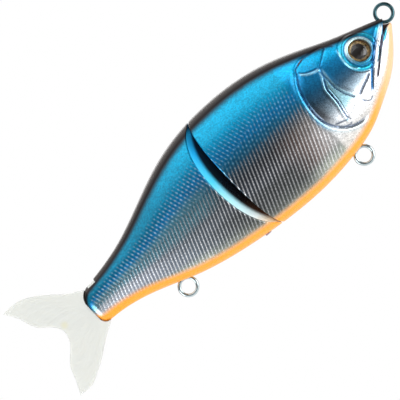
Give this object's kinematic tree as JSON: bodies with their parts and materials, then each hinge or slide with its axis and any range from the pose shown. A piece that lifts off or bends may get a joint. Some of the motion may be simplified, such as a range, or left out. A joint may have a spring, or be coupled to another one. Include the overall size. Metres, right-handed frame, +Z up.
{
  "type": "swimbait",
  "caption": "Two-section hard-bodied shad-shaped fishing lure with a vertical centre hinge, wire eyes for line and hooks, domed eyes and a soft forked tail.",
  "frame": {"origin": "centre of the line tie eye at the nose", "axes": "+X forward out of the nose, +Y to the fish's left, +Z up towards the back"},
  "size_m": [0.1812, 0.0254, 0.0575],
  "materials": {
    "painted_shell": "chromed and clear-coated, black back, blue flank, silver side and orange belly",
    "wire": "polished stainless wire",
    "pin_steel": "ground stainless pin",
    "plug": "moulded plug",
    "ballast": "steel balls",
    "iris_foil": "printed gold foil with a black pupil",
    "eye_resin": "clear cast resin",
    "tail_silicone": "translucent white silicone"
  },
  "bodies": {
    "front": {"front_shell_left": "painted_shell", "front_shell_right": "painted_shell", "line_tie_eye": "wire", "belly_hook_eye": "wire", "upper_joint_eye": "wire", "lower_joint_eye": "wire", "iris_disc_left": "iris_foil", "iris_disc_right": "iris_foil", "eye_lens_left": "eye_resin", "eye_lens_right": "eye_resin", "front_ballast_ball_1": "ballast", "front_ballast_ball_2": "ballast", "front_ballast_ball_3": "ballast"},
    "rear": {"rear_shell_left": "painted_shell", "rear_shell_right": "painted_shell", "rear_hook_eye": "wire", "hinge_pin": "pin_steel", "hinge_pin_plug": "plug", "tail_root": "tail_silicone", "rear_ballast_ball_1": "ballast", "rear_ballast_ball_2": "ballast"},
    "tail": {"tail_fin": "tail_silicone"}
  },
  "joints": [
    {"name": "mid_joint_swing", "type": "hinge", "parent": "front", "child": "rear", "pos_m": [-0.0862, 0, 0], "axis": [0, 0, 1], "range_deg": [-27, 27]},
    {"name": "tail_fin_flex", "type": "hinge", "parent": "rear", "child": "tail", "pos_m": [-0.1566, 0, 0], "axis": [0, 0, 1], "range_deg": [-30, 30], "stiffness_Nm_per_rad": 0.02}
  ]
}
